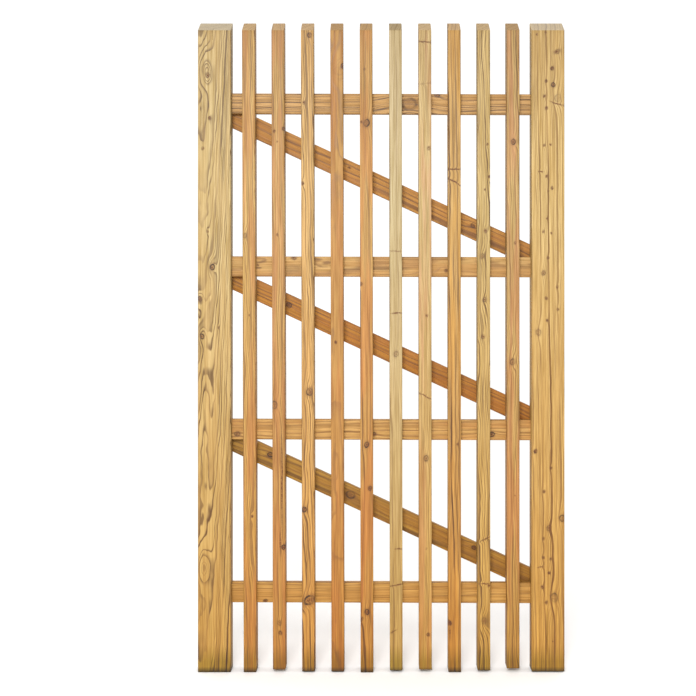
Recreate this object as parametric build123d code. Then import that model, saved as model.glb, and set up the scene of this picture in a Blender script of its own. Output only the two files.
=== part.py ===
from build123d import *
import os
from math import atan, cos, degrees, radians, tan

# A framed picket gate leaf. Two wide stiles and ten narrow pickets stand side by side, four rails are
# let into their backs, and three diagonal braces lie behind, falling towards the hinge side.
# Millimetres. X runs across the leaf, with the hinge side at +X. The front faces -Y. Z is up.
# The origin is under the middle of the leaf, level with its lowest end.

# Driving dimensions of the leaf
LEAF_WIDTH = 1000
LEAF_HEIGHT = 1780

# Uprights: stiles and pickets are cut from the same stock, so they are equally deep
STOCK_DEPTH = 45
STILE_WIDTH = 90
PICKET_WIDTH = 35
PICKET_COUNT = 10
PICKET_PITCH = 80
TOP_CUT_RISE = 30  # the tops slope down towards the front by this much, to shed rain
EDGE_RADIUS = 2.5  # planed arris on every long edge

# The lower ends were left as sawn, so each upright ends a few millimetres above the lowest one
LATCH_STILE_FOOT = 1
HINGE_STILE_FOOT = 3
PICKET_FEET = (1, 8, 3, 3, 0, 6, 8, 1, 6, 11)

# The pickets stand a little out of plumb, the first one most: its foot is this much nearer the hinges
FIRST_PICKET_LEAN = 5

# Rails
RAIL_NAMES = ("bottom", "lower", "upper", "top")
RAIL_HEIGHT = 56
RAIL_THICKNESS = 20
LOWEST_RAIL_UNDERSIDE = 182
RAIL_SPACING = 448
RAIL_FALL = 3  # each rail runs down towards the hinges by this much over the leaf's width

# Braces
BRACE_NAMES = ("bottom", "middle", "top")
BRACE_WIDTH = 55
BRACE_THICKNESS = 20
BRACE_ANGLE = 24.9  # below horizontal, so that each end points into a corner of its bay
BRACE_BEARING = 45  # how far each brace end lies on its stile, up to its plumb cut

# Countersunk wood screws, all driven from the back
SCREW_HEAD_RADIUS = 4.4
SCREW_HEAD_LIP = 0.4
SCREW_SHANK_RADIUS = 1.7
SCREW_THREAD_RADIUS = 2.25
SCREW_POINT_LENGTH = 5
SCREW_SMOOTH_SHARE = 0.4  # the part of the length that has no thread
RAIL_SCREW_LENGTH = 40
BRACE_SCREW_LENGTH = 50
DRIVE_RADIUS = 1.9
DRIVE_LOBE_RADIUS = 0.55
DRIVE_DEPTH = 2.2
DRIVE_TURN = 37  # each drive recess is turned by this much more than the last, in degrees
STILE_SCREW_INSET = 27  # from the stile's outer edge to the pair of screws there
STILE_SCREW_INNER = 72  # from the stile's outer edge to the single screw near its inner edge
STILE_SCREW_OFFSET = 14  # above and below the rail's centre line
BRACE_END_SCREW_INSET = 30  # from the stile's inner edge, along X

# Planes and lines that follow from the sizes above
DEPTH = STOCK_DEPTH + BRACE_THICKNESS
FRONT_Y = -DEPTH / 2
STOCK_BACK_Y = FRONT_Y + STOCK_DEPTH
BRACE_BACK_Y = STOCK_BACK_Y + BRACE_THICKNESS
STILE_INNER_X = LEAF_WIDTH / 2 - STILE_WIDTH
FIRST_PICKET_X = -PICKET_PITCH * (PICKET_COUNT - 1) / 2
RAIL_SLOPE = degrees(atan(RAIL_FALL / LEAF_WIDTH))


def eased_board(length, width, thickness):
    """A board along X with its four long edges rounded, centred on the origin."""
    board = Box(length, thickness, width)
    return fillet(board.edges().filter_by(Axis.X), EDGE_RADIUS)


def upright(width, foot):
    """A stile or picket on x = 0, from its foot height to the sloping cut at its top."""
    length = LEAF_HEIGHT - foot
    board = Rot(0, 90, 0) * eased_board(length, width, STOCK_DEPTH)
    board = Pos(0, FRONT_Y + STOCK_DEPTH / 2, foot + length / 2) * board
    front_edge_height = LEAF_HEIGHT - TOP_CUT_RISE
    waste_profile = Plane.YZ * Polyline(
        (FRONT_Y, front_edge_height),
        (STOCK_BACK_Y, LEAF_HEIGHT),
        (STOCK_BACK_Y, LEAF_HEIGHT + TOP_CUT_RISE),
        (FRONT_Y, LEAF_HEIGHT + TOP_CUT_RISE),
        close=True,
    )
    waste = extrude(make_face(waste_profile), width, both=True)
    return board - waste


def rail_height_at(index, x):
    """Height of a rail's centre line at x."""
    return LOWEST_RAIL_UNDERSIDE + RAIL_HEIGHT / 2 + index * RAIL_SPACING - x * tan(radians(RAIL_SLOPE))


def plumb_cut_board(middle, fall, width, thickness, reach):
    """A board that falls by an angle towards +X, cut plumb at this reach on each side of its middle."""
    long_enough = 2 * (reach / cos(radians(fall)) + width)
    board = middle * Rot(0, fall, 0) * eased_board(long_enough, width, thickness)
    return board & (middle * Box(2 * reach, thickness, LEAF_HEIGHT))


def plain_rail(index):
    """One rail before drilling, as long as the leaf is wide, with its back level with the uprights'."""
    middle = Pos(0, STOCK_BACK_Y - RAIL_THICKNESS / 2, rail_height_at(index, 0))
    return plumb_cut_board(middle, RAIL_SLOPE, RAIL_HEIGHT, RAIL_THICKNESS, LEAF_WIDTH / 2)


def brace_height_at(index, x):
    """Height of a brace's centre line at x. It passes through the middle of its bay."""
    bay_middle = (rail_height_at(index, 0) + rail_height_at(index + 1, 0)) / 2
    return bay_middle - x * tan(radians(BRACE_ANGLE))


def plain_brace(index):
    """One brace before drilling, with both ends cut plumb on the stiles."""
    middle = Pos(0, STOCK_BACK_Y + BRACE_THICKNESS / 2, brace_height_at(index, 0))
    reach = STILE_INNER_X + BRACE_BEARING
    return plumb_cut_board(middle, BRACE_ANGLE, BRACE_WIDTH, BRACE_THICKNESS, reach)


def screw_body(length):
    """A screw without its drive recess, head up, with the top of its head at z = 0."""
    cone_end = SCREW_HEAD_LIP + SCREW_HEAD_RADIUS - SCREW_SHANK_RADIUS
    thread_start = max(length * SCREW_SMOOTH_SHARE, cone_end)
    outline = Plane.XZ * Polyline(
        (0, 0),
        (SCREW_HEAD_RADIUS, 0),
        (SCREW_HEAD_RADIUS, -SCREW_HEAD_LIP),
        (SCREW_SHANK_RADIUS, -cone_end),
        (SCREW_SHANK_RADIUS, -thread_start),
        (SCREW_THREAD_RADIUS, -thread_start),
        (SCREW_THREAD_RADIUS, SCREW_POINT_LENGTH - length),
        (0, -length),
        close=True,
    )
    return revolve(make_face(outline), Axis.Z)


def drive_recess():
    """The six-lobed socket in a screw head, with its mouth at z = 0."""
    lobes = PolarLocations(DRIVE_RADIUS - DRIVE_LOBE_RADIUS, 6) * Circle(DRIVE_LOBE_RADIUS)
    socket = Circle(DRIVE_RADIUS - DRIVE_LOBE_RADIUS) + lobes
    return extrude(socket, -DRIVE_DEPTH)


def placed_screws(body, places, back_y):
    """Copies of a screw body with their heads on the plane y = back_y, pointing to the front."""
    screws = []
    for i, (x, z) in enumerate(places):
        facing_back = Rot(-90, 0, 0) * Rot(0, 0, DRIVE_TURN * i)
        screws.append(Pos(x, back_y, z) * facing_back * body)
    return screws


def lean_of(index):
    """How far a picket's foot lies towards the hinges from where a plumb one would stand."""
    return FIRST_PICKET_LEAN * (1 - index / (PICKET_COUNT - 1))


def picket_x(index, height=LEAF_HEIGHT / 2):
    """Centre line of a picket at a height: they are evenly spaced half way up."""
    return FIRST_PICKET_X + index * PICKET_PITCH + lean_of(index) * (0.5 - height / LEAF_HEIGHT)


def rail_screw_places(index):
    """Where a rail is screwed: once to each picket and three times to each stile."""
    columns = [picket_x(i, rail_height_at(index, 0)) for i in range(PICKET_COUNT)]
    places = [(x, rail_height_at(index, x)) for x in columns]
    for side in (-1, 1):
        outer = side * (LEAF_WIDTH / 2 - STILE_SCREW_INSET)
        inner = side * (LEAF_WIDTH / 2 - STILE_SCREW_INNER)
        places.append((outer, rail_height_at(index, outer) - STILE_SCREW_OFFSET))
        places.append((outer, rail_height_at(index, outer) + STILE_SCREW_OFFSET))
        places.append((inner, rail_height_at(index, inner) - side * STILE_SCREW_OFFSET))
    return places


def brace_screw_places(index):
    """Where a brace is screwed: once to each picket and once to each stile."""
    end_x = STILE_INNER_X + BRACE_END_SCREW_INSET
    columns = [picket_x(i, brace_height_at(index, 0)) for i in range(PICKET_COUNT)] + [-end_x, end_x]
    return [(x, brace_height_at(index, x)) for x in columns]


def leaning_picket(index):
    """One picket before drilling, turned about the middle of its height."""
    board = upright(PICKET_WIDTH, PICKET_FEET[index])
    lean_angle = degrees(atan(lean_of(index) / LEAF_HEIGHT))
    half_way_up = Pos(0, 0, LEAF_HEIGHT / 2)
    leaning = half_way_up * Rot(0, -lean_angle, 0) * half_way_up.inverse()
    return Pos(picket_x(index), 0, 0) * leaning * board


def drilled(board, screws):
    """A board with the room for each screw that reaches it taken out."""
    box = board.bounding_box()
    for screw in screws:
        centre = screw.center(CenterOf.BOUNDING_BOX)
        near_x = box.min.X - SCREW_HEAD_RADIUS < centre.X < box.max.X + SCREW_HEAD_RADIUS
        near_z = box.min.Z - SCREW_HEAD_RADIUS < centre.Z < box.max.Z + SCREW_HEAD_RADIUS
        if near_x and near_z:
            board -= screw
    return board


def housed(board, rails):
    """An upright with a housing cut in its back for each rail."""
    for rail in rails:
        board -= rail
    return board


def save(shape, name):
    """Writes one node's shape."""
    export_step(shape, f"parts/{name}.step")


def main():
    os.makedirs("parts", exist_ok=True)

    rail_numbers = range(len(RAIL_NAMES))
    brace_numbers = range(len(BRACE_NAMES))
    rails = [plain_rail(i) for i in rail_numbers]
    braces = [plain_brace(i) for i in brace_numbers]

    rail_screw = screw_body(RAIL_SCREW_LENGTH)
    brace_screw = screw_body(BRACE_SCREW_LENGTH)
    recess = drive_recess()
    rail_holes = [placed_screws(rail_screw, rail_screw_places(i), STOCK_BACK_Y) for i in rail_numbers]
    brace_holes = [placed_screws(brace_screw, brace_screw_places(i), BRACE_BACK_Y) for i in brace_numbers]
    all_holes = [hole for group in rail_holes + brace_holes for hole in group]

    stile_x = LEAF_WIDTH / 2 - STILE_WIDTH / 2
    latch_stile = Pos(-stile_x, 0, 0) * upright(STILE_WIDTH, LATCH_STILE_FOOT)
    hinge_stile = Pos(stile_x, 0, 0) * upright(STILE_WIDTH, HINGE_STILE_FOOT)
    save(drilled(housed(latch_stile, rails), all_holes), "latch_stile")
    save(drilled(housed(hinge_stile, rails), all_holes), "hinge_stile")

    for i in range(PICKET_COUNT):
        picket = housed(leaning_picket(i), rails)
        save(drilled(picket, all_holes), f"picket_{i + 1:02d}")

    for i, name in enumerate(RAIL_NAMES):
        save(drilled(rails[i], all_holes), f"{name}_rail")
        screws = placed_screws(rail_screw - recess, rail_screw_places(i), STOCK_BACK_Y)
        save(Compound(children=screws), f"{name}_rail_screws")

    for i, name in enumerate(BRACE_NAMES):
        save(drilled(braces[i], brace_holes[i]), f"{name}_brace")
        screws = placed_screws(brace_screw - recess, brace_screw_places(i), BRACE_BACK_Y)
        save(Compound(children=screws), f"{name}_brace_screws")


main()
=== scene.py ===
"""A picket gate leaf in larch: planed boards, sawn ends and stainless screws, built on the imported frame."""
import logging
from dataclasses import dataclass, field
from enum import Enum
from math import atan, cos, pi, radians, sin, tan
from typing import ClassVar

import bmesh
import bpy
from mathutils import Matrix, Vector, noise


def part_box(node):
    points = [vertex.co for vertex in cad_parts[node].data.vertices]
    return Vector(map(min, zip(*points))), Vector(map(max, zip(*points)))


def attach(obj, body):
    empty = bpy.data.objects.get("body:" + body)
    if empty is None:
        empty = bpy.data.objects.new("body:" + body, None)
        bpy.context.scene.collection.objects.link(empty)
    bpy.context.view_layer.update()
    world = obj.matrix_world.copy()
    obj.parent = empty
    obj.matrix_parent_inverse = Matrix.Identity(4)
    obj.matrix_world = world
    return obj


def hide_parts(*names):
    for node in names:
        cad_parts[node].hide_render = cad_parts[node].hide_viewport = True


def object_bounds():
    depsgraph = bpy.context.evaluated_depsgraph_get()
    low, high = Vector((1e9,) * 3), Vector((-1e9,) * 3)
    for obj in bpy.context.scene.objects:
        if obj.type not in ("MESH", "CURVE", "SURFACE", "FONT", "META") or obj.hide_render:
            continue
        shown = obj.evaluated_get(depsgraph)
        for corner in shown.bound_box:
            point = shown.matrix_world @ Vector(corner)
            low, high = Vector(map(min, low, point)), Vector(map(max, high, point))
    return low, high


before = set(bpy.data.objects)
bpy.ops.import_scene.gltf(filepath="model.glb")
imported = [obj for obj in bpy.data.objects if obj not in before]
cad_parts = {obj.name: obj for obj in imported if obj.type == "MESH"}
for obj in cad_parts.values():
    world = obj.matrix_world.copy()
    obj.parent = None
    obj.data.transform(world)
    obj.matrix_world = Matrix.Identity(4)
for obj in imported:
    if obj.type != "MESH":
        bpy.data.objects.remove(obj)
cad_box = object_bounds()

LOG = logging.getLogger("garden_gate")

# Boards are modelled in millimetres in a frame of their own: Z along the grain, X across the face, and
# Y through the thickness with the front at -Y. They are then carried to their place, in metres.
MM = 0.001
AXIS_X = Vector((1, 0, 0))
AXIS_Y = Vector((0, 1, 0))
AXIS_Z = Vector((0, 0, 1))
ON_PLANE = 0.01  # mm, how near to a plane counts as on it
ENDWISE = 0.5  # a face is an end where this much of its normal or more lies along the grain

ARRIS_RADIUS = 2.5  # mm, the planed rounding along every board
ARRIS_SEGMENTS = 4
END_CHAMFER = 0.5  # mm, where sandpaper has been once over a sawn end
STRIP_WIDTH = 8  # mm, about how far apart a board's face is divided across
THICKNESS_CUTS = (-0.22, 0, 0.22)  # shares of the thickness, from the middle, at which a side is divided
SHARP_ANGLE = radians(38)

# How far a board's skin lies inside its planed size
SWELL = 0.16  # mm, half the most that a face strays from flat
SWELL_LENGTH = 120  # mm, over which it strays
KNOCK = 1.3  # mm, for the knocks in the arrises
KNOCK_LENGTH = 26  # mm
KNOCK_START = 0.12  # the noise below which an arris is whole
WEAR_SPACING = 913.0  # mm of noise from one board's wear to the next's

LOG_SPACING = 7001.0  # mm of noise from one board's grain to the next's
# Each noise in the wood: its size in mm across, through and along the grain, its detail and its roughness
WAVER = ((15, 15, 45), 1.0, 0.5)
DRIFT = ((70, 70, 330), 1.5, 0.5)
FIBRES = ((3, 3, 130), 3.0, 0.6)  # far coarser than real ones, which are too fine to show
PATCHES = ((20, 20, 280), 2.0, 0.5)

# Round a knot, in its own radii: where each dark part starts, and where it is full
STAIN_REACH = (2.1, 0.8)  # resin has soaked into the wood round it
PITH_REACH = (1.0, 0.2)
BARK_LINE = 0.95  # the ring of bark, from which the next pair is measured
BARK_REACH = (0.32, 0.08)
HILL_SHARE = (0.5, 0.28, 0)  # a hill is twice as wide as its knot, and about four times as long

LONG_GRAIN, END_GRAIN = 0, 1  # material slots of a board


def linear(colour: str) -> tuple[float, float, float, float]:
    """Turns an sRGB colour into the linear values that Blender's sockets take.

    Args:
        colour: a hex colour such as "#c9a36b".

    Returns:
        Red, green, blue and an alpha of one.
    """
    channels = [int(colour[i:i + 2], 16) / 255 for i in (1, 3, 5)]
    return (*[c / 12.92 if c <= 0.04045 else ((c + 0.055) / 1.055) ** 2.4 for c in channels], 1.0)


def feed(tree: bpy.types.NodeTree, node: bpy.types.Node, sockets: dict[int | str, object]) -> None:
    """Sets or links a node's inputs.

    Args:
        tree: the node tree that it is in.
        node: the node.
        sockets: what each input takes, by name or number. A node stands for its first live output.
    """
    for key, value in sockets.items():
        by_name = (s for s in node.inputs if s.name == key and s.enabled)
        socket = node.inputs[key] if isinstance(key, int) else next(by_name)
        if isinstance(value, bpy.types.Node):
            value = next(s for s in value.outputs if s.enabled)
        if isinstance(value, bpy.types.NodeSocket):
            tree.links.new(value, socket)
        else:
            socket.default_value = value


def add(
    tree: bpy.types.NodeTree, kind: str, sockets: dict[int | str, object] | None = None, **settings: object,
) -> bpy.types.Node:
    """Adds a node with its settings and links.

    Args:
        tree: the node tree that it goes into.
        kind: the node's type, without "ShaderNode".
        sockets: what each input takes, as feed() has it.
        settings: the node's own properties.

    Returns:
        The new node.
    """
    node = tree.nodes.new("ShaderNode" + kind)
    for name, value in settings.items():
        setattr(node, name, value)
    feed(tree, node, sockets or {})
    return node


def start_material(name: str) -> tuple[bpy.types.Material, bpy.types.NodeTree, bpy.types.Node]:
    """Starts a material.

    Args:
        name: what the real material is and how its surface was made.

    Returns:
        The material, its node tree and its shader.
    """
    material = bpy.data.materials.new(name)
    material.use_nodes = True
    return material, material.node_tree, material.node_tree.nodes["Principled BSDF"]


# ---------------------------------------------------------------------------------------------- timber


class Cut(Enum):
    """How a board was sawn from its log: where the pith lies, in mm across and behind the board's middle."""

    FLAT = (-14, 62)
    FLAT_LEFT = (-34, 58)
    RIFT = (-78, 70)
    QUARTER = (-170, 18)


@dataclass(frozen=True)
class Knot:
    """One knot on a board's face, in mm. With no darkness it only bends the rings, like a hidden branch."""

    along: float  # from the foot of an upright, or from the middle of a rail or brace
    across: float  # from the board's centre line
    radius: float
    darkness: float = 0.8
    wide: float = 1  # half its width across the board, in radii
    tall: float = 1.25  # half its length along the board, in radii
    tilt: float = 0  # degrees that its width falls to the right
    swirl: float = 1  # how strongly the rings bulge round it

    def stretch_vectors(self) -> tuple[Vector, Vector]:
        """Gives the two vectors whose dot products with an offset measure it in half widths and lengths.

        Returns:
            The vector for the wide way and the one for the tall way.
        """
        slope = radians(self.tilt)
        wide_way = Vector((cos(slope), 0, -sin(slope))) / (self.wide * self.radius)
        tall_way = Vector((sin(slope), 0, cos(slope))) / (self.tall * self.radius)
        return wide_way, tall_way


def spike(
    along: float, tilt: float = 0, darkness: float = 0.8, across: float = 0, reach: float = 26,
) -> Knot:
    """Makes a spike knot, where the saw ran along a branch and left a thin line across the face.

    Args:
        along: where it is along the board, in mm.
        tilt: degrees that it falls to the right.
        darkness: how dark it is.
        across: where its middle is across the board, in mm.
        reach: half its length, in mm.

    Returns:
        The knot.
    """
    half_thickness = 1.7
    wide = reach / half_thickness
    return Knot(along, across, half_thickness, darkness, wide=wide, tall=1, tilt=tilt, swirl=2)


def flame(along: float, across: float, half_width: float, half_length: float, swirl: float) -> Knot:
    """Makes a long hill in the rings, which the saw opens as nested flames.

    Args:
        along: where its middle is along the board, in mm.
        across: where its middle is across the board, in mm.
        half_width: in mm.
        half_length: in mm.
        swirl: how strongly the rings bulge, or below nought, pinch in.

    Returns:
        A knot with no darkness.
    """
    return Knot(along, across, half_width, darkness=0, tall=half_length / half_width, swirl=swirl)


def make_knot_group() -> None:
    """Makes the node group that adds one knot to what the knots before it have gathered.

    The rings bulge round a branch, so each knot adds a soft hill to the ring distance. Its core and its
    dark rim are masks, and each mask keeps the stronger of this knot and the ones before.
    """
    group = bpy.data.node_groups.new("knot", "ShaderNodeTree")
    for name in ("Position", "Centre", "Across", "Along"):
        group.interface.new_socket(name, in_out="INPUT", socket_type="NodeSocketVector")
    for name in ("Lift", "Stain", "Heart", "Bark", "Hill", "Core", "Rim"):
        group.interface.new_socket(name, in_out="INPUT", socket_type="NodeSocketFloat")
    for name in ("Hill", "Core", "Rim"):
        group.interface.new_socket(name, in_out="OUTPUT", socket_type="NodeSocketFloat")
    given = group.nodes.new("NodeGroupInput").outputs
    offset = add(group, "VectorMath", {0: given["Position"], 1: given["Centre"]}, operation="SUBTRACT")
    across = add(group, "VectorMath", {0: offset, 1: given["Across"]}, operation="DOT_PRODUCT")
    along = add(group, "VectorMath", {0: offset, 1: given["Along"]}, operation="DOT_PRODUCT")
    radii = add(group, "CombineXYZ", {"X": across, "Y": along})
    reach = add(group, "VectorMath", {0: radii}, operation="LENGTH")

    from_edge = add(group, "Math", {0: reach, 1: BARK_LINE}, operation="SUBTRACT")
    away = add(group, "Math", {0: from_edge}, operation="ABSOLUTE")

    wide = add(group, "VectorMath", {0: radii, 1: HILL_SHARE}, operation="MULTIPLY")
    square = add(group, "VectorMath", {0: wide, 1: wide}, operation="DOT_PRODUCT")
    negative = add(group, "Math", {0: square, 1: -1.0}, operation="MULTIPLY")
    bell = add(group, "Math", {0: negative}, operation="EXPONENT")
    hill = add(group, "Math", {0: bell, 1: given["Lift"], 2: given["Hill"]}, operation="MULTIPLY_ADD")

    masks = []
    spans = ((reach, STAIN_REACH, "Stain"), (reach, PITH_REACH, "Heart"), (away, BARK_REACH, "Bark"))
    for value, span, most in spans:
        fading = {"Value": value, "From Min": span[0], "From Max": span[1], "To Max": given[most]}
        masks.append(add(group, "MapRange", fading, interpolation_type="SMOOTHSTEP"))
    stained, pithy, barked = masks
    core = add(group, "Math", {0: stained, 1: pithy}, operation="ADD")
    most_core = add(group, "Math", {0: core, 1: given["Core"]}, operation="MAXIMUM")
    most_rim = add(group, "Math", {0: barked, 1: given["Rim"]}, operation="MAXIMUM")

    result = group.nodes.new("NodeGroupOutput")
    for name, node in (("Hill", hill), ("Core", most_core), ("Rim", most_rim)):
        group.links.new(node.outputs[0], result.inputs[name])


@dataclass(frozen=True)
class Grain:
    """The node sockets that describe the wood at a point of one board."""

    position: bpy.types.Node  # mm, in the board's own frame
    height: bpy.types.NodeSocket  # metres above the ground
    late: bpy.types.Node  # 1 in the dark summer wood
    fibres: bpy.types.Node
    patches: bpy.types.Node
    core: bpy.types.NodeSocket | float
    rim: bpy.types.Node


@dataclass(frozen=True)
class Larch:
    """European larch, planed along and sawn at the ends: how one board of it looks.

    Larch has pale spring wood and hard, dark summer wood in every ring, so the face is lined. Planing
    leaves it matt with the summer wood a trace proud. It is unfinished, so nothing shines.
    """

    early: str  # spring wood
    late: str  # summer wood
    blush: str  # the tone of its large soft patches
    cut: Cut
    seed: int
    ring: float = 5.0  # mm, drawn about twice as wide as grown, so that the lines show at a distance
    figure: float = 0.7  # how dark the summer wood shows
    wander: float = 14  # mm, how far the rings stray over a hand's length
    taper: float = 0.012  # of the log, which opens long flames that point up, or down below nought
    knots: tuple[Knot, ...] = ()
    end: str = "#bfa583"  # the grey tone of its sawn ends
    evenness: float = 0.35  # how dark the summer wood of the poorest year is, to that of the best

    # What the darkest and the palest fibres multiply the colour by. Darker fibres are redder too
    dark_fibre: ClassVar[tuple[float, ...]] = (0.67, 0.585, 0.37, 1)
    pale_fibre: ClassVar[tuple[float, ...]] = (1.21, 1.235, 1.32, 1)
    pin_knot: ClassVar[float] = 4.0  # mm, the largest knot that shows as a plain dark dot, without bark
    knot_heart: ClassVar[str] = "#5c3310"
    knot_bark: ClassVar[str] = "#2c1708"
    ior: ClassVar[float] = 1.45

    def grain(self, tree: bpy.types.NodeTree, board: "Board") -> Grain:
        """Builds the rings, fibres and knots that the long grain and the end grain share.

        Args:
            tree: the material's node tree.
            board: the board, whose place centres and turns the pattern.

        Returns:
            The sockets that the colours are made from.
        """
        object_place = add(tree, "TexCoord").outputs["Object"]
        here = {
            "Vector": object_place,
            "Location": board.middle * MM,
            "Rotation": (0, board.turn, 0),
            "Scale": (MM, MM, MM),
        }
        position = add(tree, "Mapping", here, vector_type="TEXTURE")
        far_along = (0, 0, LOG_SPACING * self.seed)
        shifted = add(tree, "VectorMath", {0: position, 1: far_along}, operation="ADD")
        noises = []
        for size, detail, roughness in (WAVER, DRIFT, FIBRES, PATCHES):
            scale = [1 / mm for mm in size]
            scaled = add(tree, "VectorMath", {0: shifted, 1: scale}, operation="MULTIPLY")
            sockets = {"Vector": scaled, "Scale": 1.0, "Detail": detail, "Roughness": roughness}
            noises.append(add(tree, "TexNoise", sockets))
        waver, drift, fibres, patches = noises

        # A slight waver, one to three millimetres, keeps knots and rings from looking turned on a lathe
        centred = add(tree, "VectorMath", {0: waver.outputs["Color"], 1: (0.5,) * 3}, operation="SUBTRACT")
        stray = {0: centred, 1: (3.5, 3.5, 9.0), 2: position}
        place = add(tree, "VectorMath", stray, operation="MULTIPLY_ADD")

        hill, core, rim = 0.0, 0.0, 0.0
        for knot in self.knots:
            across, along = knot.stretch_vectors()
            # A hill any steeper than this would tear the rings
            most_lift = min(1.6 * self.ring, 0.9 * knot.radius)
            sockets = {
                "Position": place,
                "Centre": (knot.across, -board.depth / 2, knot.along),
                "Across": across,
                "Along": along,
                "Lift": knot.swirl * most_lift,
                "Stain": 0.6 * knot.darkness,
                "Heart": 0.9 * knot.darkness * min(1.0, self.pin_knot / knot.radius),
                "Bark": 1.3 * knot.darkness * min(1.0, knot.radius / (1.5 * self.pin_knot)),
                "Hill": hill,
                "Core": core,
                "Rim": rim,
            }
            node = add(tree, "Group", sockets, node_tree=bpy.data.node_groups["knot"])
            hill, core, rim = (node.outputs[name] for name in ("Hill", "Core", "Rim"))

        # The dark bark round a knot is broken here and there
        whole = {"Value": waver.outputs["Fac"], "From Min": 0.38, "From Max": 0.6, "To Min": 0.35}
        broken = add(tree, "Math", {0: rim, 1: add(tree, "MapRange", whole)}, operation="MULTIPLY")

        pith_across, pith_behind = self.cut.value
        to_pith = {0: place, 1: (1, 1, self.taper), 2: (-pith_across, -pith_behind, 0)}
        from_pith = add(tree, "VectorMath", to_pith, operation="MULTIPLY_ADD")
        flat = add(tree, "VectorMath", {0: from_pith, 1: (1, 1, 0)}, operation="MULTIPLY")
        distance = add(tree, "VectorMath", {0: flat}, operation="LENGTH")
        tapered = add(tree, "SeparateXYZ", {0: from_pith})
        with_taper = add(tree, "Math", {0: distance, 1: tapered.outputs["Z"]}, operation="ADD")
        with_drift = {0: drift.outputs["Fac"], 1: 2 * self.wander, 2: with_taper}
        drifted = add(tree, "Math", with_drift, operation="MULTIPLY_ADD")
        bulged = add(tree, "Math", {0: drifted, 1: hill}, operation="ADD")
        in_rings = add(tree, "Math", {0: bulged, 1: self.ring}, operation="DIVIDE")

        # Wet and dry years make wide and narrow rings, and darker and fainter summer wood
        years = {"W": in_rings, "Scale": 0.55, "Detail": 1.0}
        year = add(tree, "TexNoise", years, noise_dimensions="1D")
        uneven = {0: year.outputs["Fac"], 1: 2.2, 2: in_rings}
        ring_count = add(tree, "Math", uneven, operation="MULTIPLY_ADD")
        season = add(tree, "Math", {0: ring_count}, operation="FRACT")
        ripening = {"Value": season, "From Min": 0.46, "From Max": 0.86}
        ripe = add(tree, "MapRange", ripening, interpolation_type="SMOOTHSTEP")
        ending = add(tree, "MapRange", {"Value": season, "From Min": 1.0, "From Max": 0.92})
        line = add(tree, "Math", {0: ripe, 1: ending}, operation="MULTIPLY")
        good_years = {"Value": year.outputs["Fac"], "From Min": 0.32, "From Max": 0.6}
        strength = add(tree, "MapRange", good_years | {"To Min": self.evenness})
        late = add(tree, "Math", {0: line, 1: strength}, operation="MULTIPLY")

        height = add(tree, "SeparateXYZ", {0: object_place}).outputs["Z"]
        return Grain(position, height, late, fibres, patches, core, broken)

    def shaded_and_weathered(
        self, tree: bpy.types.NodeTree, height: bpy.types.NodeSocket, colour: bpy.types.Node,
    ) -> bpy.types.Node:
        """Paints shade that deepens towards the ground, a greenish painted reflection and shade at the foot,
        and greys the top a little.

        Args:
            tree: the material's node tree.
            height: metres above the ground.
            colour: the wood's colour so far.

        Returns:
            The node with the painted shade and the greying.
        """
        # For each: the height in metres where it starts, the height where it is full, and its tone there
        # Painted shade: the colour darkens and warms from 1.25 m down to the ground, where the light falls
        # off
        painted_shade_below = (1.25, 0.05, "#ffe19e")
        # Painted reflection and painted shade at the foot: a greenish tint over the lowest 75 mm, and a
        # darker green band over the lowest 16 mm
        painted_green_reflection = (0.075, 0.03, "#d4d58e")
        painted_foot_shade = (0.016, 0.004, "#86885a")
        rained_on = (1.35, 1.77, "#eae6e2")
        for start, full, tone in (painted_shade_below, painted_green_reflection, painted_foot_shade, rained_on):
            share = add(tree, "MapRange", {"Value": height, "From Min": start, "From Max": full})
            blend = {"Factor": share, "A": colour, "B": linear(tone)}
            colour = add(tree, "Mix", blend, data_type="RGBA", blend_type="MULTIPLY")
        return colour

    def long_grain(self, board: "Board") -> bpy.types.Material:
        """Makes the planed faces' material.

        Args:
            board: the board that wears it.

        Returns:
            The material.
        """
        material, tree, shader = start_material(f"larch_planed_{board.name}")
        grain = self.grain(tree, board)

        summer = add(tree, "Math", {0: grain.late, 1: self.figure}, operation="MULTIPLY")
        lined = {"Factor": summer, "A": linear(self.early), "B": linear(self.late)}
        colour = add(tree, "Mix", lined, data_type="RGBA")
        spread = {"Value": grain.patches.outputs["Fac"], "From Min": 0.42, "From Max": 0.62, "To Max": 0.7}
        patchy = add(tree, "MapRange", spread, interpolation_type="SMOOTHSTEP")
        blushed = {"Factor": patchy, "A": colour, "B": linear(self.blush)}
        colour = add(tree, "Mix", blushed, data_type="RGBA")
        streaks = {"Value": grain.fibres.outputs["Fac"], "From Min": 0.3, "From Max": 0.7}
        shades = {"Factor": add(tree, "MapRange", streaks), "A": self.dark_fibre, "B": self.pale_fibre}
        shade = add(tree, "Mix", shades, data_type="RGBA")
        colour = add(tree, "VectorMath", {0: colour, 1: shade}, operation="MULTIPLY")
        # A knot's wood is mottled, a few millimetres at a time
        mottle = add(tree, "TexNoise", {"Vector": grain.position, "Scale": 0.3, "Detail": 2.0})
        in_patches = {"Value": mottle.outputs["Fac"], "From Min": 0.35, "From Max": 0.62}
        mottled = add(tree, "MapRange", in_patches | {"To Min": 0.45, "To Max": 1.2})
        core = add(tree, "Math", {0: grain.core, 1: mottled}, operation="MULTIPLY")
        for share, tone in ((core, self.knot_heart), (grain.rim, self.knot_bark)):
            knotty = {"Factor": share, "A": colour, "B": linear(tone)}
            colour = add(tree, "Mix", knotty, data_type="RGBA")

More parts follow.
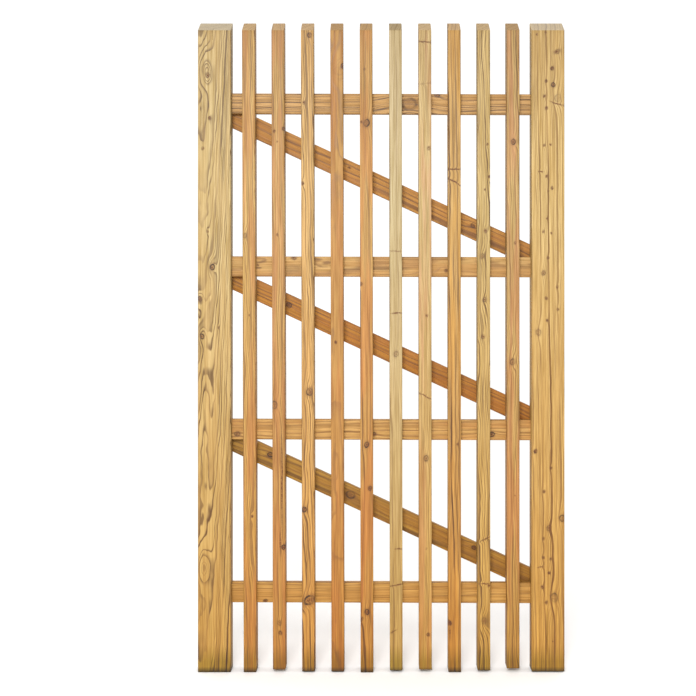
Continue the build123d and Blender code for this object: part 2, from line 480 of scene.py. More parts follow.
        # The hard summer wood is a little smoother than the rest, and stands proud of it
        matt = {"Value": grain.late, "To Min": 0.68, "To Max": 0.52}
        relief = {0: grain.fibres.outputs["Fac"], 1: 0.6, 2: summer}
        ridges = add(tree, "Math", relief, operation="MULTIPLY_ADD")
        with_knots = add(tree, "Math", {0: ridges, 1: grain.rim}, operation="SUBTRACT")
        feed(tree, shader, {
            "Base Color": self.shaded_and_weathered(tree, grain.height, colour),
            "Roughness": add(tree, "MapRange", matt),
            "Normal": add(tree, "Bump", {"Strength": 0.5, "Distance": 0.3 * MM, "Height": with_knots}),
            "IOR": self.ior,
        })
        return material

    def end_grain(self, board: "Board") -> bpy.types.Material:
        """Makes the sawn ends' material: ring arcs and open pores, greyed, with the saw's marks.

        Args:
            board: the board that wears it.

        Returns:
            The material.
        """
        material, tree, shader = start_material(f"larch_sawn_end_{board.name}")
        grain = self.grain(tree, board)

        ringed = {"Factor": grain.late, "A": linear(self.early), "B": linear(self.late)}
        colour = add(tree, "Mix", ringed, data_type="RGBA")
        greyed = {"Factor": 0.45, "A": colour, "B": linear(self.end)}
        colour = add(tree, "Mix", greyed, data_type="RGBA")
        # Open pores show as a coarse speckle, a millimetre or so across
        speckle = add(tree, "TexNoise", {"Vector": grain.position, "Scale": 0.9, "Detail": 2.0})
        in_pores = {"Value": speckle.outputs["Fac"], "From Min": 0.3, "From Max": 0.7}
        flecked = add(tree, "MapRange", in_pores | {"To Min": 0.8, "To Max": 1.1})
        colour = add(tree, "VectorMath", {0: colour, "Scale": flecked}, operation="SCALE")

        # The saw's teeth leave shallow scratches about 1.5 mm apart, a little off square
        turned = {"Vector": grain.position, "Rotation": (0, 0, radians(12)), "Scale": (0.04, 0.65, 0.65)}
        tooth_place = add(tree, "Mapping", turned)
        teeth = add(tree, "TexNoise", {"Vector": tooth_place, "Scale": 1.0, "Detail": 2.0})
        rough = add(tree, "Math", {0: teeth.outputs["Fac"], 1: speckle.outputs["Fac"]}, operation="ADD")
        feed(tree, shader, {
            "Base Color": self.shaded_and_weathered(tree, grain.height, colour),
            "Roughness": 0.8,
            "Normal": add(tree, "Bump", {"Strength": 0.7, "Distance": 0.6 * MM, "Height": rough}),
            "IOR": self.ior,
        })
        return material


@dataclass(frozen=True)
class StainlessSteel:
    """A2 stainless steel, cold formed and tumbled: grey, evenly dull, with fine handling marks."""

    base: str = "#b9b7b1"
    dull: str = "#8e8a82"
    grit: float = 0.35  # mm, the size of the tumbling marks

    def material(self) -> bpy.types.Material:
        """Makes the screws' material.

        Returns:
            The material.
        """
        material, tree, shader = start_material("stainless_steel_tumbled")
        place = add(tree, "TexCoord").outputs["Object"]
        marks = add(tree, "TexNoise", {"Vector": place, "Scale": 1 / (self.grit * MM), "Detail": 3.0})
        dulled = add(tree, "TexNoise", {"Vector": place, "Scale": 1 / (12 * self.grit * MM), "Detail": 1.0})
        tone = {"Factor": dulled.outputs["Fac"], "A": linear(self.base), "B": linear(self.dull)}
        polish = {"Value": marks.outputs["Fac"], "To Min": 0.28, "To Max": 0.5}
        relief = {"Strength": 0.3, "Distance": 0.03 * MM, "Height": marks.outputs["Fac"]}
        feed(tree, shader, {
            "Base Color": add(tree, "Mix", tone, data_type="RGBA"),
            "Roughness": add(tree, "MapRange", polish),
            "Normal": add(tree, "Bump", relief),
            "Metallic": 1.0,
        })
        return material


# ---------------------------------------------------------------------------------------------- boards


@dataclass(frozen=True)
class Check:
    """A drying crack in a board's face, in mm."""

    top: float
    length: float
    across: float
    width: float = 1.6
    depth: float = 5.0


@dataclass
class Board:
    """A planed board in its own frame, and the place where it goes."""

    name: str
    slot: str
    wood: Larch
    width: float
    depth: float
    middle: Vector  # mm, where the origin of the board's frame goes
    turn: float = 0  # radians about Y, from standing upright
    checks: tuple[Check, ...] = ()
    station: float = 14  # mm between the cross cuts that let a board's surface stray

    def place(self) -> Matrix:
        """Gives the matrix from the board's frame to the leaf, both in mm."""
        return Matrix.Translation(self.middle) @ Matrix.Rotation(self.turn, 4, "Y")

    def solid(self) -> bmesh.types.BMesh:
        """Makes the board's shape in its own frame. Each kind of board has its own."""
        raise NotImplementedError

    def cross_cuts(self) -> list[float]:
        """Gives the heights at which the board is divided along its length."""
        raise NotImplementedError

    def strips(self) -> list[float]:
        """Gives the lines, across the face, along which the board is divided.

        Returns:
            Where each line is, in mm from the centre line.
        """
        flat = self.width - 2 * ARRIS_RADIUS
        count = max(2, round(flat / STRIP_WIDTH))
        lines = [flat * (i / count - 0.5) for i in range(1, count)]
        for check in self.checks:
            lines = [x for x in lines if abs(x - check.across) > check.width]
            lines += [check.across + side * check.width / 2 for side in (-1, 0, 1)]
        return lines

    def wear_at(self, point: Vector) -> float:
        """Works out how far the surface lies inside the planed size.

        Args:
            point: a point of the surface, in the board's frame.

        Returns:
            The depth in mm, never below nought.
        """
        shifted = point + Vector((0, 0, WEAR_SPACING * self.wood.seed))
        worn = SWELL * (1 + noise.noise(shifted / SWELL_LENGTH))
        near_side = abs(point.x) > self.width / 2 - ARRIS_RADIUS + ON_PLANE
        near_face = abs(point.y) > self.depth / 2 - ARRIS_RADIUS + ON_PLANE
        if near_side and near_face:
            worn += KNOCK * max(0.0, noise.noise(shifted / KNOCK_LENGTH) - KNOCK_START)
        return worn

    def wear(self, bm: bmesh.types.BMesh, kept: set[bmesh.types.BMVert]) -> None:
        """Moves the skin inwards by the wear at each point, so that no face is dead flat.

        Args:
            bm: the board.
            kept: vertices that stay where they are.
        """
        bm.normal_update()
        moves = []
        for vert in bm.verts:
            on_side = abs(vert.co.x) > self.width / 2 - ARRIS_RADIUS - ON_PLANE
            on_face = abs(vert.co.y) > self.depth / 2 - ARRIS_RADIUS - ON_PLANE
            if vert in kept or not (on_side or on_face):
                continue
            inward = Vector((-vert.normal.x, -vert.normal.y, 0))
            if inward.length > ON_PLANE:
                moves.append((vert, inward.normalized() * self.wear_at(vert.co)))
        for vert, move in moves:
            vert.co += move

    def open_checks(self, bm: bmesh.types.BMesh) -> None:
        """Presses the middle line of each check in, deepest half way along it.

        Args:
            bm: the board, already divided along each check's three lines.
        """
        for check in self.checks:
            for vert in bm.verts:
                share = (check.top - vert.co.z) / check.length
                in_line = abs(vert.co.x - check.across) < ON_PLANE
                if in_line and 0 < share < 1 and vert.co.y < ARRIS_RADIUS - self.depth / 2:
                    vert.co.y += check.depth * sin(pi * share)

    def detail(self, bm: bmesh.types.BMesh) -> set[bmesh.types.BMVert]:
        """Cuts what is particular to a kind of board into its divided shape.

        Args:
            bm: the board.

        Returns:
            The vertices that the wear leaves alone.
        """
        return set()

    def build(self) -> bpy.types.Object:
        """Makes the finished piece: shaped, divided, worn, dressed and riding on the leaf.

        Returns:
            The piece's object.
        """
        bm = self.solid()
        cut_along(bm, AXIS_Z, self.cross_cuts())
        cut_along(bm, AXIS_X, self.strips())
        cut_along(bm, AXIS_Y, [self.depth * share for share in THICKNESS_CUTS])
        kept = self.detail(bm)
        self.open_checks(bm)
        self.wear(bm, kept)
        bm.normal_update()
        for face in bm.faces:
            face.material_index = END_GRAIN if abs(face.normal.z) > ENDWISE else LONG_GRAIN
            face.smooth = True
        bmesh.ops.transform(bm, matrix=Matrix.Scale(MM, 4) @ self.place(), verts=bm.verts)
        bmesh.ops.recalc_face_normals(bm, faces=bm.faces)
        mesh = bpy.data.meshes.new(self.name)
        bm.to_mesh(mesh)
        bm.free()
        mesh.set_sharp_from_angle(angle=SHARP_ANGLE)
        mesh.materials.append(self.wood.long_grain(self))
        mesh.materials.append(self.wood.end_grain(self))
        piece = bpy.data.objects.new(f"{self.name}_timber", mesh)
        bpy.context.scene.collection.objects.link(piece)
        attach(piece, "root")
        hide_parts(self.name)
        LOG.info("%s: %d faces", piece.name, len(mesh.polygons))
        return piece


def cut_along(bm: bmesh.types.BMesh, axis: Vector, offsets: list[float]) -> None:
    """Divides a shape along planes square to an axis.

    Args:
        bm: the shape.
        axis: the planes' direction.
        offsets: how far along the axis each plane lies.
    """
    for offset in offsets:
        everything = bm.verts[:] + bm.edges[:] + bm.faces[:]
        bmesh.ops.bisect_plane(bm, geom=everything, dist=ON_PLANE, plane_co=axis * offset, plane_no=axis)


def ease_long_edges(bm: bmesh.types.BMesh, width: float, depth: float) -> None:
    """Rounds the long edges of a board.

    Args:
        bm: the board, with square edges.
        width: its size across the face.
        depth: its thickness.
    """
    def on_corner(vert: bmesh.types.BMVert) -> bool:
        """Says whether a vertex is on one of the four long edges."""
        return abs(abs(vert.co.x) - width / 2) < ON_PLANE and abs(abs(vert.co.y) - depth / 2) < ON_PLANE

    long_edges = [
        e for e in bm.edges
        if all(on_corner(v) for v in e.verts) and (e.verts[0].co - e.verts[1].co).to_2d().length < ON_PLANE
    ]
    bmesh.ops.bevel(bm, geom=long_edges, offset=ARRIS_RADIUS, segments=ARRIS_SEGMENTS, profile=0.5,
                    affect="EDGES", material=-1)


def chamfer_ends(bm: bmesh.types.BMesh, ends: list[bmesh.types.BMFace]) -> None:
    """Takes the sharpness off the edges round a board's sawn ends.

    Args:
        bm: the board.
        ends: its end faces.
    """
    rims = list({e for f in ends for e in f.edges})
    bmesh.ops.bevel(bm, geom=rims, offset=END_CHAMFER, segments=1, profile=0.5, affect="EDGES", material=-1)


@dataclass
class Upright(Board):
    """A stile or a picket: housed for the rails at its back, with its top cut to shed rain."""

    foot: float = 0
    top: float = 0
    top_fall: float = 30  # mm that the top cut falls from the back to the front
    rails: tuple["Rail", ...] = ()

    def housings(self) -> list[tuple[float, float]]:
        """Gives the lower and upper height of each housing, from the lowest up."""
        middles = [rail.height_at(self.middle.x) for rail in self.rails]
        return [(z - rail.width / 2, z + rail.width / 2) for z, rail in zip(middles, self.rails)]

    def solid(self) -> bmesh.types.BMesh:
        """Sweeps the side view across the width, then eases the edges.

        Returns:
            The board's shape.
        """
        front, back = -self.depth / 2, self.depth / 2
        outline = [(front, self.foot), (front, self.top - self.top_fall), (back, self.top)]
        for low, high in reversed(self.housings()):
            bottom = back - self.rails[0].depth
            outline += [(back, high), (bottom, high), (bottom, low), (back, low)]
        outline.append((back, self.foot))
        bm = bmesh.new()
        side = bm.faces.new([bm.verts.new((-self.width / 2, y, z)) for y, z in outline])
        swept = bmesh.ops.extrude_face_region(bm, geom=[side])["geom"]
        far_side = [g for g in swept if isinstance(g, bmesh.types.BMVert)]
        bmesh.ops.translate(bm, verts=far_side, vec=AXIS_X * self.width)
        bmesh.ops.recalc_face_normals(bm, faces=bm.faces)
        ease_long_edges(bm, self.width, self.depth)
        bm.normal_update()
        ends = [f for f in bm.faces if abs(f.normal.z) > ENDWISE and not self.in_housing(f)]
        chamfer_ends(bm, ends)
        return bm

    def in_housing(self, face: bmesh.types.BMFace) -> bool:
        """Says whether a face that lies across the grain is a wall of a housing, and not an end."""
        near = 1  # mm
        return self.foot + near < face.calc_center_median().z < self.top - self.top_fall - near

    def cross_cuts(self) -> list[float]:
        """Gives a cut at each wall of a housing and at even steps between, clear of those.

        Returns:
            The height of each cut.
        """
        walls = [z for pair in self.housings() for z in pair]
        count = round((self.top - self.foot) / self.station)
        steps = [self.foot + (self.top - self.foot) * i / count for i in range(1, count)]
        shoulder = self.top - self.top_fall
        clear = [z for z in steps if all(abs(z - w) > self.station / 3 for w in (*walls, shoulder))]
        return walls + clear

    def detail(self, bm: bmesh.types.BMesh) -> set[bmesh.types.BMVert]:
        """Tips the housings' walls to the fall of the rails.

        Args:
            bm: the board, divided at every wall.

        Returns:
            No vertices, since the wear may move them all.
        """
        walls = [z for pair in self.housings() for z in pair]
        for vert in bm.verts:
            if any(abs(vert.co.z - wall) < ON_PLANE for wall in walls):
                vert.co.z -= vert.co.x * tan(self.rails[0].fall)
        return set()


@dataclass
class Crossing(Board):
    """A rail or a brace: cut plumb at both ends and countersunk at its back for every screw."""

    fall: float = 0  # radians below level, towards the hinges
    reach: float = 0  # mm from the middle to each plumb cut, along X
    screws: tuple[Vector, ...] = ()  # mm, the middle of each screw head, in the leaf

    POCKET_REACH: ClassVar[float] = 7  # mm, half the square of the back face that is redrawn round a screw
    # The radius and depth of each ring of a countersink, mm
    POCKET: ClassVar[tuple[tuple[float, float], ...]] = ((4.65, 0.0), (4.6, 0.5), (2.0, 3.2))

    def height_at(self, x: float) -> float:
        """Gives the height of the centre line at x, in mm."""
        return self.middle.z - (x - self.middle.x) * tan(self.fall)

    def screw_places(self) -> list[Vector]:
        """Gives each screw head's middle in the board's own frame."""
        to_board = self.place().inverted()
        return [to_board @ screw for screw in self.screws]

    def solid(self) -> bmesh.types.BMesh:
        """Makes an over-long board, eases it and cuts its ends plumb.

        Returns:
            The board's shape.
        """
        bm = bmesh.new()
        bmesh.ops.create_cube(bm, size=1)
        long_enough = 2 * (self.reach / cos(self.fall) + self.width)
        bmesh.ops.scale(bm, vec=(self.width, self.depth, long_enough), verts=bm.verts)
        ease_long_edges(bm, self.width, self.depth)
        to_board = self.place().inverted()
        for side in (-1, 1):
            point = to_board @ (self.middle + AXIS_X * self.reach * side)
            outward = to_board.to_3x3() @ (AXIS_X * side)
            everything = bm.verts[:] + bm.edges[:] + bm.faces[:]
            cut = bmesh.ops.bisect_plane(bm, geom=everything, dist=ON_PLANE, plane_co=point,
                                         plane_no=outward, clear_outer=True)["geom_cut"]
            rim = [g for g in cut if isinstance(g, bmesh.types.BMEdge)]
            end = bmesh.ops.edgeloop_fill(bm, edges=rim)["faces"]
            bmesh.ops.recalc_face_normals(bm, faces=bm.faces)
            chamfer_ends(bm, end)
        return bm

    def cross_cuts(self) -> list[float]:
        """Gives five cuts at each screw, and even steps between the screws.

        Returns:
            How far along the board each cut is.
        """
        quarter = self.POCKET_REACH / 2
        cuts = sorted({round(s.z + quarter * i, 2) for s in self.screw_places() for i in range(-2, 3)})
        sliver = 0.3  # mm, where the cuts of two screws side by side nearly meet
        cuts = [z for i, z in enumerate(cuts) if i == 0 or z - cuts[i - 1] > sliver]
        extra = []
        for low, high in zip(cuts, cuts[1:]):
            count = int((high - low) / self.station) + 1
            extra += [low + (high - low) * i / count for i in range(1, count)]
        return cuts + extra

    def strips(self) -> list[float]:
        """Gives the lines through and beside each row of screws.

        Returns:
            Where each line is, in mm from the centre line.
        """
        quarter = self.POCKET_REACH / 2
        rows = {round(s.x / self.POCKET_REACH) for s in self.screw_places()}
        return sorted({row * self.POCKET_REACH + quarter * i for row in rows for i in range(-2, 3)})

    def detail(self, bm: bmesh.types.BMesh) -> set[bmesh.types.BMVert]:
        """Sinks a cone into the back for each screw's head.

        Args:
            bm: the board, divided round every screw.

        Returns:
            The vertices of the countersinks and of the squares round them.
        """
        kept: set[bmesh.types.BMVert] = set()
        for screw in self.screw_places():
            bm.normal_update()
            tile = [f for f in bm.faces if f.normal.y > 0.99 and self.is_near(f, screw)]
            kept.update(v for f in tile for v in f.verts)
            face = bmesh.ops.dissolve_faces(bm, faces=tile, use_verts=False)["region"][0]
            centre = Vector((screw.x, self.depth / 2, screw.z))
            for radius, depth in self.POCKET:
                face = bmesh.ops.extrude_discrete_faces(bm, faces=[face])["faces"][0]
                for vert in face.verts:
                    spoke = Vector((vert.co.x - centre.x, 0, vert.co.z - centre.z)).normalized()
                    vert.co = centre + spoke * radius - AXIS_Y * depth
                kept.update(face.verts)
        return {v for v in kept if v.is_valid}

    def is_near(self, face: bmesh.types.BMFace, screw: Vector) -> bool:
        """Says whether a face lies in the square round a screw."""
        offset = face.calc_center_median() - screw
        return max(abs(offset.x), abs(offset.z)) < self.POCKET_REACH


class Rail(Crossing):
    """A level board let into the backs of all the uprights."""


class Brace(Crossing):
    """A board that falls towards the hinges across the backs of the uprights."""


def head_middles(node: str) -> tuple[Vector, ...]:
    """Finds the middle of each screw's head in a group of screws.

    Args:
        node: the group's name in the frame.

    Returns:
        The middles in mm, on the plane of the heads.
    """
    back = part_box(node)[1].y
    clear = 10 * MM  # two screws are further apart than this, and a head is smaller
    groups: list[list[Vector]] = []
    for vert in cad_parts[node].data.vertices:
        if back - vert.co.y > ON_PLANE * MM:
            continue
        near = next((g for g in groups if (g[0] - vert.co).length < clear), None)
        if near is None:
            groups.append([vert.co.copy()])
        else:
            near.append(vert.co.copy())
    middles = []
    for group in groups:
        xs, zs = [p.x for p in group], [p.z for p in group]
        middles.append(Vector((min(xs) + max(xs), 2 * back, min(zs) + max(zs))) / (2 * MM))
    return tuple(middles)


# --------------------------------------------------------------------------------- the leaf's own timber

LATCH_STILE = Larch(
    "#ae996b", "#543809", "#a78d5b", Cut.FLAT_LEFT, 1, ring=3.8, figure=1, wander=4, taper=-0.035,
    evenness=0.7, end="#c6bfae",
    knots=(
        Knot(1628, -18, 5, swirl=1.2), Knot(1645, -25, 9, 0.15, tall=1.6, swirl=2.2),
        Knot(1500, -31, 7, 0.18, tall=7, swirl=0), Knot(1510, -13, 3.5), Knot(1429, -31, 3.5, 0.6),
        Knot(1203, -18, 2.5), Knot(1106, -5, 6, swirl=1.3), Knot(1018, -39, 5, 0.7), Knot(917, -33, 5.5),
        Knot(940, 11, 2, 0.5), flame(690, -26, 8, 70, 1.6), flame(287, -28, 8, 12, 2.2),
    ),
)
HINGE_STILE = Larch(
    "#b39862", "#72511d", "#ac8e55", Cut.QUARTER, 2, ring=7, figure=1, wander=7, evenness=0.6, end="#c6c0b2",
    knots=(
        # Each pin knot's place along and across, its radius and its darkness
        *(Knot(*pin) for pin in (
            (1738, -31, 2.5, 0.6), (1745, -7, 2.5, 0.6), (1647, 11, 4, 0.9), (1612, -5, 3, 1),
            (1601, 14, 5, 0.8), (1571, -11, 3, 0.9), (1538, -5, 3.5, 1), (1437, -11, 2.5, 0.9),
            (1440, 6, 2.5, 0.9), (1353, -5, 2.5, 0.9), (1320, 11, 3, 0.9), (1312, 1, 2, 0.7),
            (1238, -3, 2, 0.8), (1203, -13, 3, 0.7), (1198, 8, 2.5, 0.8), (1130, 0, 3, 0.8),
            (1089, -13, 5, 0.7), (1051, 25, 3, 0.6), (1021, -5, 3, 0.8), (991, 27, 3, 0.6),
            (960, -3, 3, 0.8), (928, -27, 7, 0.6), (601, -35, 4, 1), (557, 8, 3, 0.8), (492, -11, 3, 0.8),
            (366, -13, 3, 0.8), (312, -13, 3, 0.9), (309, 6, 2.5, 0.9), (271, 3, 3, 0.9),
            (233, -16, 3.5, 0.8), (189, -5, 3.5, 0.7), (85, 12, 1.5, 0.7),
        )),
        Knot(1692, 24, 4, 0.7, wide=2.2, tilt=-15), Knot(1566, 26, 8, 0.3, swirl=1.6),
        spike(1549, tilt=18, darkness=0.9, across=27, reach=17), spike(1366, across=-20, reach=6),
        Knot(394, 2, 6, 0.6, swirl=1.6), Knot(421, 38, 7, 0.6, swirl=1.6), Knot(205, 16, 9, 0.5, swirl=1.6),
        spike(288, darkness=0.6, across=-20, reach=7),
    ),
)
PICKETS = (
    Larch("#af8f56", "#634112", "#a37441", Cut.RIFT, 11, ring=4.2, figure=0.95, evenness=0.5, knots=(
        Knot(1190, -10, 5, 0.35), Knot(973, 0, 2, 0.6), Knot(425, 7, 2.5, 0.9), flame(400, 0, 8, 30, 1.6),
    )),
    Larch("#ab8a55", "#644313", "#9f7143", Cut.QUARTER, 12, ring=6, figure=0.95, evenness=0.5, knots=(
        Knot(1475, -10, 3, 0.9), Knot(1482, 16, 4, 1), Knot(1446, -2, 2, 0.6), Knot(1193, -2, 2.5),
        Knot(729, -12, 8, 0.5, swirl=1.5), Knot(342, 13, 5, 0.9), Knot(520, 8, 2.4, 0.7, tall=48, swirl=0),
        Knot(352, 4, 2, 0.7, tall=14, swirl=0), Knot(135, 1, 5, 0.5, swirl=1.6),
        Knot(108, 3, 4.5, swirl=1.6),
    )),
    Larch("#b69560", "#553508", "#b18c55", Cut.RIFT, 13, ring=4.2, figure=1, wander=9, evenness=0.95, knots=(
        Knot(1737, 6, 5, 0.9), Knot(1552, -10, 3, 0.9), Knot(1334, -13, 3.5, 0.9), Knot(764, 4, 8),
        Knot(443, -11, 6, 0.9), Knot(197, 2, 8, wide=1.3, tall=1.9, tilt=50, swirl=1.6),
    )),
    Larch("#a27c45", "#664112", "#9a6937", Cut.FLAT, 14, ring=5, figure=0.55, knots=(
        Knot(1653, 17, 5, 1), Knot(900, -4, 3, 1), Knot(1640, 2, 9, 0.1, swirl=1.5),
    ), end="#a58a64"),
    Larch("#ab874f", "#654211", "#a26f39", Cut.QUARTER, 15, ring=6.5, figure=0.95, knots=(
        Knot(1497, 1, 8, 0.75), Knot(1500, -13, 2.5, 0.9), Knot(1645, -4, 3, 0.5), Knot(1060, -16, 4, 1),
        Knot(620, 0, 6), Knot(503, 9, 5), Knot(165, 0, 6, 0.9), Knot(146, -15, 4),
    ), end="#a58a64"),
    Larch("#aa9974", "#6c5224", "#a29169", Cut.QUARTER, 16, ring=6.5, figure=0.6, knots=(
        spike(1149, darkness=0.4), spike(980, darkness=0.9, across=4, reach=14), Knot(868, 0, 6, 0.55),
        spike(337, tilt=4, darkness=0.7, across=9, reach=11), spike(238, tilt=-9),
        spike(113, tilt=-30, across=-8, reach=8),
    ), end="#8a7450"),
    Larch("#ae9768", "#6e511f", "#aa845f", Cut.RIFT, 17, ring=4.4, figure=0.6, knots=(
        spike(1718, tilt=3), spike(1605, darkness=0.25), Knot(1428, 10, 4, 0.7), Knot(974, 4, 3, 0.7),
        spike(753, tilt=25, darkness=0.7), Knot(584, 2, 6, 0.7), Knot(337, 3, 2, 0.4), Knot(103, 8, 4),
    )),
    Larch(
        "#b18f57", "#5a3a0c", "#aa803a", Cut.QUARTER, 18, ring=6.5, figure=1, wander=9, evenness=0.75,
        knots=(
            spike(1372, darkness=1), spike(1337, tilt=29, darkness=0.9), Knot(135, -14, 5, 1),
            Knot(620, 8, 3, 0.7), Knot(110, -14, 2, 0.7, tall=8, swirl=0),
        ),
    ),
    Larch("#b29a65", "#563907", "#a78e5a", Cut.RIFT, 19, ring=4.2, figure=1, wander=18, evenness=1, knots=(
        Knot(1440, 10, 2.5, 1), Knot(1352, 15, 3, 0.9), Knot(1317, 2, 2), Knot(1203, 4, 4, 0.7),
        Knot(1135, -5, 5, 0.6), Knot(1015, 2, 5, 0.6), Knot(914, -3, 4, 0.7),
        spike(364, tilt=-25, across=4, reach=16), spike(241, across=2, reach=12), Knot(236, 13, 3, 0.7),
        Knot(140, 0, 7, 0.5, swirl=1.8),
    )),
    Larch("#a98d58", "#624313", "#a5774d", Cut.RIFT, 20, ring=4.4, figure=1, evenness=0.6, knots=(
        Knot(1446, 0, 6, 0.7, swirl=1.4), Knot(1170, 5, 3, 0.6), Knot(846, -2, 6, 0.6, swirl=1.4),
        Knot(483, 5, 1.5, 0.6, swirl=0),
    ), end="#a08160"),
)
RAILS = {
    "bottom_rail": Larch("#bc9f6c", "#775621", "#af8d57", Cut.QUARTER, 34, ring=9, figure=0.75, knots=(
        Knot(-317, 23, 4),
    )),
    "lower_rail": Larch("#bb9a63", "#77521d", "#b38951", Cut.RIFT, 33, ring=8, figure=0.8, knots=(
        Knot(-396, 12, 6), Knot(-20, 12, 5), Knot(304, 12, 6),
    )),
    "upper_rail": Larch("#b4925c", "#724e1b", "#ac824a", Cut.FLAT, 32, ring=7, figure=0.95, knots=(
        Knot(-240, -24, 5), Knot(-339, -4, 2.5), Knot(180, 10, 4),
    )),
    "top_rail": Larch(
        "#bb9560", "#4c2d07", "#aa8248", Cut.QUARTER, 31, ring=8, figure=1, wander=8, evenness=1,
        knots=(
            Knot(153, -25, 6, swirl=1.5), Knot(76, 0, 16, 0.5, swirl=1.5),
        ),
    ),
}
BRACES = {
    "bottom_brace": Larch("#a4833b", "#5d3e0b", "#9d7731", Cut.RIFT, 43, ring=11, figure=0.9, knots=(
        Knot(-342, -9, 6), Knot(-95, -2, 10, 0.6, swirl=1.5), Knot(277, -13, 5),
    )),
    "middle_brace": Larch("#a9762a", "#603706", "#a36c25", Cut.QUARTER, 42, ring=11, figure=0.85, knots=(
        Knot(-281, 0, 6, 1),
    )),
    "top_brace": Larch("#ae7c39", "#633a0b", "#a77232", Cut.RIFT, 41, ring=11, figure=0.95, knots=(
        Knot(-101, -9, 3), Knot(277, -7, 5),
    )),
}


@dataclass
class GateLeaf:
    """The whole leaf: two stiles, ten pickets, four rails, three braces and their screws."""

    rail_width: float = 56
    brace_width: float = 55
    brace_fall: float = 24.9  # degrees below level
    screw_steel: StainlessSteel = field(default_factory=StainlessSteel)

    def crossing(
        self, kind: type[Crossing], name: str, slot: str, wood: Larch, width: float, fall: float,
    ) -> Crossing:
        """Sets out a rail or a brace in the space that the frame gives it.

        Args:
            kind: Rail or Brace.
            name: the node that it stands for.
            slot: its material slot.
            wood: what it is made of.
            width: its size across the face, in mm.
            fall: radians below level, towards the hinges.

        Returns:
            The board.
        """
        low, high = (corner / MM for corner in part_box(name))
        return kind(
            name=name, slot=slot, wood=wood, width=width, depth=high.y - low.y, middle=(low + high) / 2,
            turn=pi / 2 + fall, fall=fall, reach=(high.x - low.x) / 2, screws=head_middles(f"{name}_screws"),
        )

    def rails(self) -> list[Rail]:
        """Sets out the rails.

        Returns:
            The rails, from the lowest up.
        """
        boards = []
        for name, wood in RAILS.items():
            low, high = (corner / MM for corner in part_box(name))
            fall = atan((high.z - low.z - self.rail_width) / (high.x - low.x))
            boards.append(self.crossing(Rail, name, "rail_wood", wood, self.rail_width, fall))
        return boards

    def braces(self) -> list[Brace]:
        """Sets out the braces.

        Returns:
            The braces, from the lowest up.
        """
        fall, width = radians(self.brace_fall), self.brace_width
        return [self.crossing(Brace, name, "brace_wood", wood, width, fall) for name, wood in BRACES.items()]

    def upright(self, name: str, slot: str, wood: Larch, width: float, rails: list[Rail]) -> Upright:
        """Sets out a stile or a picket in the space that the frame gives it.

        Args:
            name: the node that it stands for.
            slot: its material slot.
            wood: what it is made of.
            width: its size across the face, in mm.
            rails: the rails that it is housed for.

        Returns:
            The board.
        """
        low, high = (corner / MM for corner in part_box(name))
        lean = atan((high.x - low.x - width) / (high.z - low.z))
        half_way = (low + high) / 2
        down_the_board = Vector((sin(lean), 0, -cos(lean))) * half_way.z
        return Upright(
            name=name, slot=slot, wood=wood, width=width, depth=high.y - low.y,
            middle=half_way + down_the_board, turn=-lean, foot=low.z, top=high.z, rails=tuple(rails),
        )

    def build(self) -> None:
        """Builds every board, and gives the screws their steel."""
        make_knot_group()
        rails = self.rails()
        # The latch stile and the last picket stand as good as plumb, so their boxes give the widths
        plumb_nodes = ("latch_stile", f"picket_{len(PICKETS):02d}")
        stile_width, picket_width = ((high.x - low.x) / MM for low, high in map(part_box, plumb_nodes))
        boards: list[Board] = [*rails, *self.braces()]
        latch_stile = self.upright("latch_stile", "stile_wood", LATCH_STILE, stile_width, rails)
        hinge_stile = self.upright("hinge_stile", "stile_wood", HINGE_STILE, stile_width, rails)
        latch_stile.checks = (Check(top=1790, length=70, across=-4, width=1.4, depth=3),)
        hinge_stile.checks = (
            Check(top=1540, length=80, across=-5, width=2, depth=6),
            Check(top=182, length=145, across=-3, width=2, depth=6),
        )
        boards += [latch_stile, hinge_stile]
        for number, wood in enumerate(PICKETS, start=1):
            boards.append(self.upright(f"picket_{number:02d}", "picket_wood", wood, picket_width, rails))
        for board in boards:
            board.build()
        self.dress_screws()

    def dress_screws(self) -> None:
        """Gives every group of screws its steel."""
        steel = self.screw_steel.material()
        for name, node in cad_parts.items():
            if name.endswith("_screws"):
                node.data.materials.clear()
                node.data.materials.append(steel)
                LOG.info("%s: stainless steel", name)


# ---------------------------------------------------------------------------------------------- studio


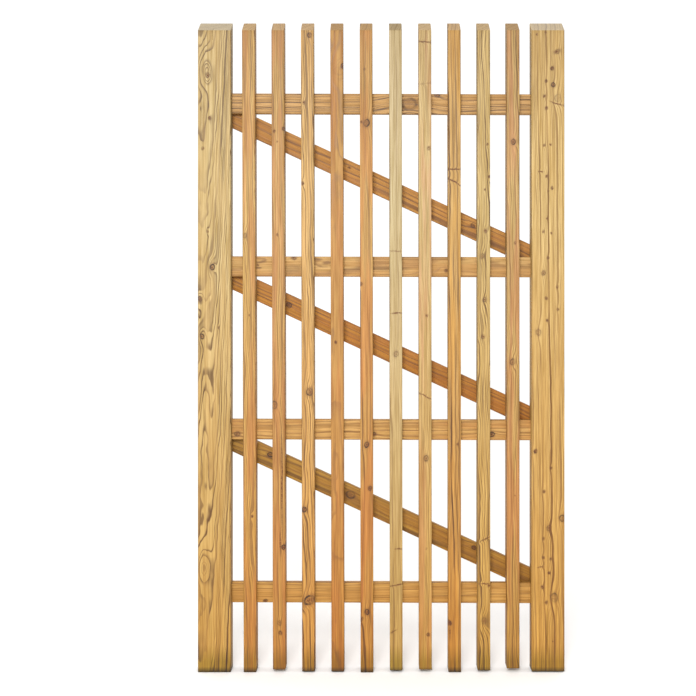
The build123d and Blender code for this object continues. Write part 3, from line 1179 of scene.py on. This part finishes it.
@dataclass
class Studio:
    """A white room with one large soft lamp in front, high and a little to the left, and the camera."""

    camera_distance: float = 2.9  # metres in front of the leaf's front
    eye_height: float = 1.056
    lens: float = 55.05  # mm, on a sensor 36 mm wide
    shift: tuple[float, float] = (-0.0477, -0.0905)
    lamp_place: tuple[float, float, float] = (-0.5, -3.6, 2.3)
    lamp_size: float = 1.3
    lamp_power: float = 106
    surround: float = 1.1  # the strength of the white round the leaf
    floor_radius: float = 12
    floor_sides: int = 96

    def floor(self) -> None:
        """Lays a matt white floor under the leaf."""
        bm = bmesh.new()
        bmesh.ops.create_circle(bm, cap_ends=True, segments=self.floor_sides, radius=self.floor_radius)
        bmesh.ops.translate(bm, verts=bm.verts, vec=AXIS_Z * cad_box[0].z)
        mesh = bpy.data.meshes.new("floor")
        bm.to_mesh(mesh)
        bm.free()
        # Matt white emulsion, rolled: almost even, with a faint stipple
        material, tree, shader = start_material("white_emulsion_rolled")
        place = add(tree, "TexCoord").outputs["Object"]
        stipple = add(tree, "TexNoise", {"Vector": place, "Scale": 1 / (4 * MM), "Detail": 2.0})
        tone = {"Factor": stipple.outputs["Fac"], "A": linear("#f7f6f4"), "B": linear("#fbfaf9")}
        colour = add(tree, "Mix", tone, data_type="RGBA")
        feed(tree, shader, {"Base Color": colour, "Roughness": 0.9, "Specular IOR Level": 0.1})
        mesh.materials.append(material)
        floor = bpy.data.objects.new("floor", mesh)
        bpy.context.scene.collection.objects.link(floor)

    def light(self) -> None:
        """Sets up the even white surround and the lamp."""
        world = bpy.data.worlds.new("white_room")
        world.use_nodes = True
        background = world.node_tree.nodes["Background"]
        feed(world.node_tree, background, {"Color": linear("#ffffff"), "Strength": self.surround})
        bpy.context.scene.world = world
        lamp = bpy.data.lights.new("soft_lamp", "AREA")
        lamp.shape = "DISK"
        lamp.size = self.lamp_size
        lamp.energy = self.lamp_power
        lamp_object = bpy.data.objects.new("soft_lamp", lamp)
        lamp_object.location = self.lamp_place
        middle = (cad_box[0] + cad_box[1]) / 2
        lamp_object.rotation_euler = (middle - lamp_object.location).to_track_quat("-Z", "Y").to_euler()
        bpy.context.scene.collection.objects.link(lamp_object)
        # The plain transform keeps whites white and the timber's colours as they are given
        bpy.context.scene.view_settings.view_transform = "Standard"

    def camera(self) -> None:
        """Stands the camera square to the leaf's front, at chest height."""
        camera = bpy.data.cameras.new("camera")
        camera.lens = self.lens
        camera.shift_x, camera.shift_y = self.shift
        camera_object = bpy.data.objects.new("camera", camera)
        camera_object.location = (0, cad_box[0].y - self.camera_distance, self.eye_height)
        camera_object.rotation_euler = (pi / 2, 0, 0)
        bpy.context.scene.collection.objects.link(camera_object)
        bpy.context.scene.camera = camera_object

    def build(self) -> None:
        """Sets up the floor, the light and the camera."""
        self.floor()
        self.light()
        self.camera()


def main() -> None:
    """Builds the studio and the leaf."""
    logging.basicConfig(level=logging.INFO, format="%(name)s %(message)s")
    Studio().build()
    GateLeaf().build()


if __name__ == "__main__":
    main()
